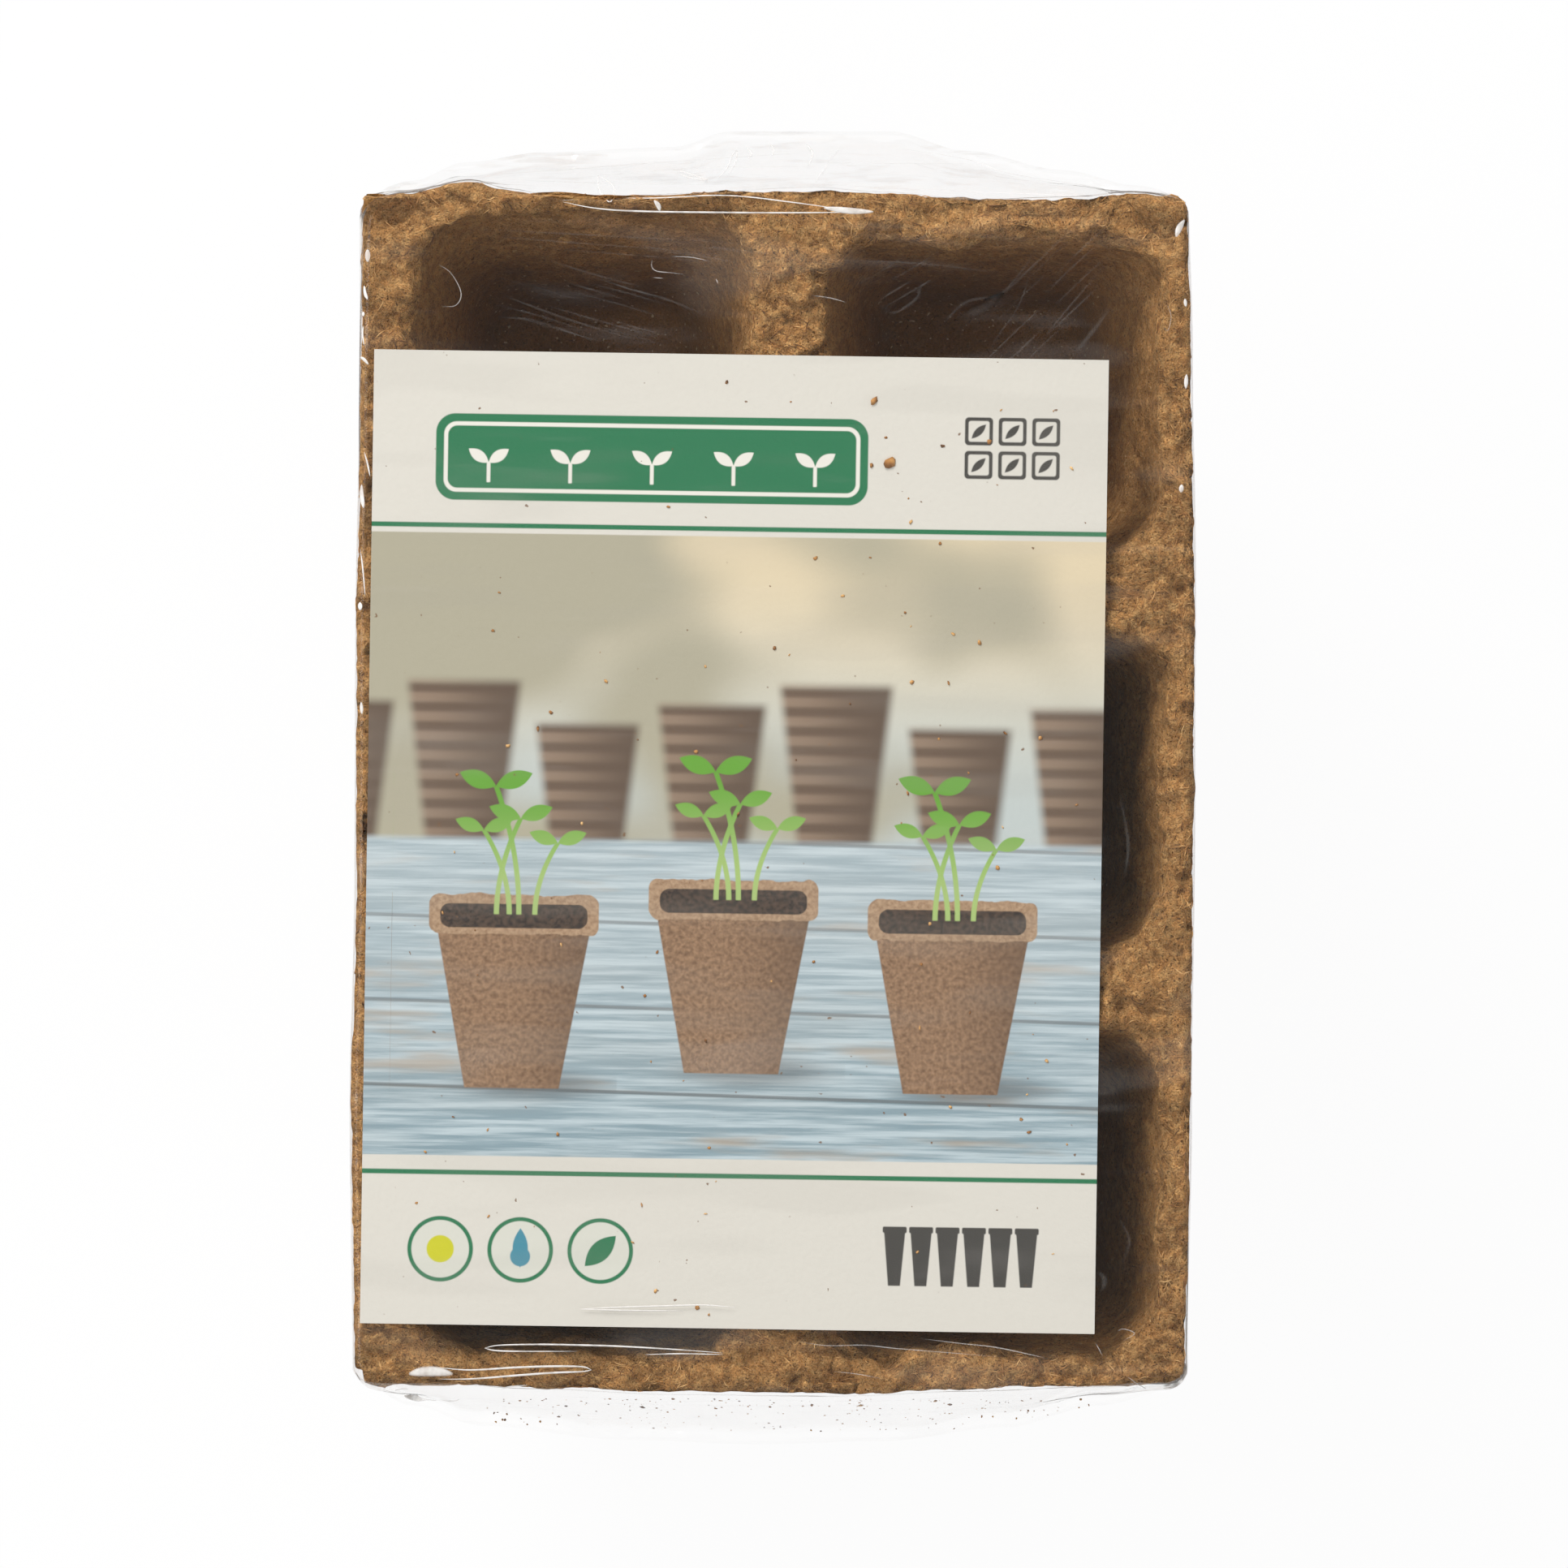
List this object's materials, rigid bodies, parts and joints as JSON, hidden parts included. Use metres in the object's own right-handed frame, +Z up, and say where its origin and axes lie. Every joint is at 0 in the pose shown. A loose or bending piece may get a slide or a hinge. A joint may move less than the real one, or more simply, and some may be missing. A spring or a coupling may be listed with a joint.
{
  "type": "peat pot tray pack",
  "caption": "Shrink-wrapped stack of nested moulded-fibre seedling trays with square pots and a printed card on top.",
  "frame": {"origin": "middle of the trays' outline, on the plane that the wrapped pack stands on", "axes": "+Z up out of the pots, +X across the two columns of pots, +Y along the three rows, away from a reader of the card"},
  "size_m": [0.1052, 0.1669, 0.1369],
  "materials": {
    "peat_fibre": "coarse matt brown peat and wood fibre, moulded wet",
    "card": "satin cream card printed in greens, blues and browns",
    "film": "clear thin shrink film, glossy and wrinkled"
  },
  "bodies": {
    "film_lower": {"film_lower": "film"},
    "tray_01": {"tray_01": "peat_fibre"},
    "tray_02": {"tray_02": "peat_fibre"},
    "tray_03": {"tray_03": "peat_fibre"},
    "tray_04": {"tray_04": "peat_fibre"},
    "tray_05": {"tray_05": "peat_fibre"},
    "tray_06": {"tray_06": "peat_fibre"},
    "tray_07": {"tray_07": "peat_fibre"},
    "tray_08": {"tray_08": "peat_fibre"},
    "tray_09": {"tray_09": "peat_fibre"},
    "tray_10": {"tray_10": "peat_fibre"},
    "card": {"card": "card"},
    "film_upper": {"film_upper": "film"}
  },
  "joints": [
    {"name": "tray_01_lift", "type": "slide", "parent": "film_lower", "child": "tray_01", "axis": [0, 0, 1], "range_m": [0, 0.07]},
    {"name": "tray_02_lift", "type": "slide", "parent": "tray_01", "child": "tray_02", "axis": [0, 0, 1], "range_m": [0, 0.045]},
    {"name": "tray_03_lift", "type": "slide", "parent": "tray_02", "child": "tray_03", "axis": [0, 0, 1], "range_m": [0, 0.045]},
    {"name": "tray_04_lift", "type": "slide", "parent": "tray_03", "child": "tray_04", "axis": [0, 0, 1], "range_m": [0, 0.045]},
    {"name": "tray_05_lift", "type": "slide", "parent": "tray_04", "child": "tray_05", "axis": [0, 0, 1], "range_m": [0, 0.045]},
    {"name": "tray_06_lift", "type": "slide", "parent": "tray_05", "child": "tray_06", "axis": [0, 0, 1], "range_m": [0, 0.045]},
    {"name": "tray_07_lift", "type": "slide", "parent": "tray_06", "child": "tray_07", "axis": [0, 0, 1], "range_m": [0, 0.045]},
    {"name": "tray_08_lift", "type": "slide", "parent": "tray_07", "child": "tray_08", "axis": [0, 0, 1], "range_m": [0, 0.045]},
    {"name": "tray_09_lift", "type": "slide", "parent": "tray_08", "child": "tray_09", "axis": [0, 0, 1], "range_m": [0, 0.045]},
    {"name": "tray_10_lift", "type": "slide", "parent": "tray_09", "child": "tray_10", "axis": [0, 0, 1], "range_m": [0, 0.045]},
    {"name": "card_lift", "type": "slide", "parent": "tray_10", "child": "card", "axis": [0, 0, 1], "range_m": [0, 0.03]},
    {"name": "film_upper_lift", "type": "slide", "parent": "card", "child": "film_upper", "axis": [0, 0, 1], "range_m": [0, 0.075]}
  ]
}
